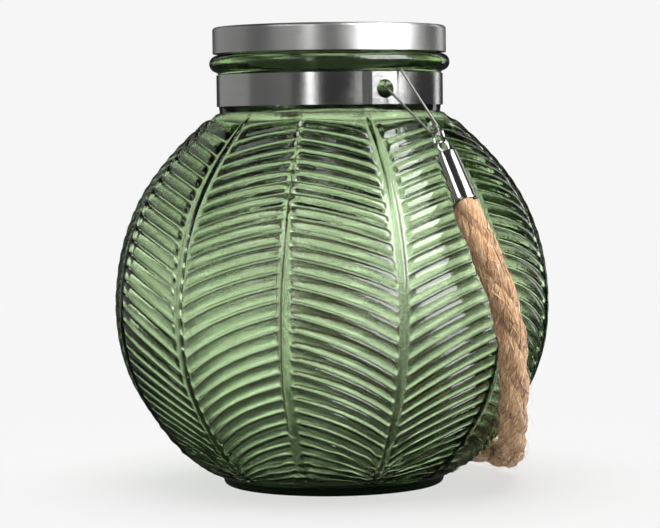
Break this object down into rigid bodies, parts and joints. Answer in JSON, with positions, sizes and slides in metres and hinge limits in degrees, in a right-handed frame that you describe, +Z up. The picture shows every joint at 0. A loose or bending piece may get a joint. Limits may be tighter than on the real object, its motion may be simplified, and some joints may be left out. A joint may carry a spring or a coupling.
{
  "type": "jar lantern",
  "caption": "Round pressed-glass jar with leaf relief, screw-on metal lid holding a solar light, neck band with two ears and a swinging rope handle.",
  "frame": {"origin": "on the surface the lantern stands on, under the middle of the jar", "axes": "+Z up along the jar's axis, the two handle ears on -Y (front) and +Y (back), the hanging rope on the +X side"},
  "size_m": [0.1858, 0.2098, 0.1957],
  "materials": {
    "green_glass": "pressed green glass, polished",
    "stainless": "fine brushed",
    "polished_steel": "polished",
    "wire": "bright drawn wire",
    "jute": "three-strand laid jute, hairy",
    "insert_plastic": "moulded matt",
    "module_plastic": "moulded matt",
    "gasket": "soft matt",
    "window_plastic": "clear polished",
    "solar_cell": "coated cell",
    "board": "solder-masked board",
    "component": "moulded",
    "led_lens": "warm phosphor under clear resin",
    "battery_jacket": "shrink sleeve",
    "spring_steel": "plated",
    "screw_steel": "zinc plated",
    "wire_red": "insulation",
    "wire_black": "insulation"
  },
  "bodies": {
    "jar": {"glass_jar": "green_glass", "neck_band": "stainless"},
    "handle": {"rope_handle": "jute", "ferrule_front": "polished_steel", "ferrule_back": "polished_steel", "ferrule_eye_front": "polished_steel", "ferrule_eye_back": "polished_steel", "jump_ring_front": "wire", "jump_ring_back": "wire", "hanger_wire_front": "wire", "hanger_wire_back": "wire"},
    "seal": {"lid_gasket": "gasket"},
    "lid": {"lid_cap": "stainless", "lid_insert": "insert_plastic", "solar_window": "window_plastic", "solar_panel": "solar_cell", "module_housing": "module_plastic", "housing_screws": "screw_steel", "battery_door": "module_plastic", "door_screw": "screw_steel", "circuit_board": "board", "board_components": "component", "leds": "led_lens", "battery": "battery_jacket", "battery_contact": "spring_steel", "battery_spring": "spring_steel", "switch_body": "component", "panel_lead_red": "wire_red", "panel_lead_black": "wire_black", "battery_lead_red": "wire_red", "battery_lead_black": "wire_black"},
    "switch": {"switch_knob": "component"}
  },
  "joints": [
    {"name": "handle_swing", "type": "hinge", "parent": "jar", "child": "handle", "pos_m": [0, 0, 0.1683], "axis": [0, -1, 0], "range_deg": [0, 300], "deforming": ["hanger_wire_front", "hanger_wire_back"]},
    {"name": "lid_lift", "type": "slide", "parent": "jar", "child": "seal", "axis": [0, 0, 1], "range_m": [0, 0.048]},
    {"name": "lid_turn", "type": "hinge", "parent": "seal", "child": "lid", "pos_m": [0, 0, 0.19], "axis": [0, 0, 1], "range_deg": [0, 1080]},
    {"name": "switch_slide", "type": "slide", "parent": "lid", "child": "switch", "axis": [1, 0, 0], "range_m": [0, 0.0025]}
  ],
  "couplings": [
    {"joint": "lid_lift", "follows": "lid_turn", "m_per_rad": 0.0025465}
  ]
}
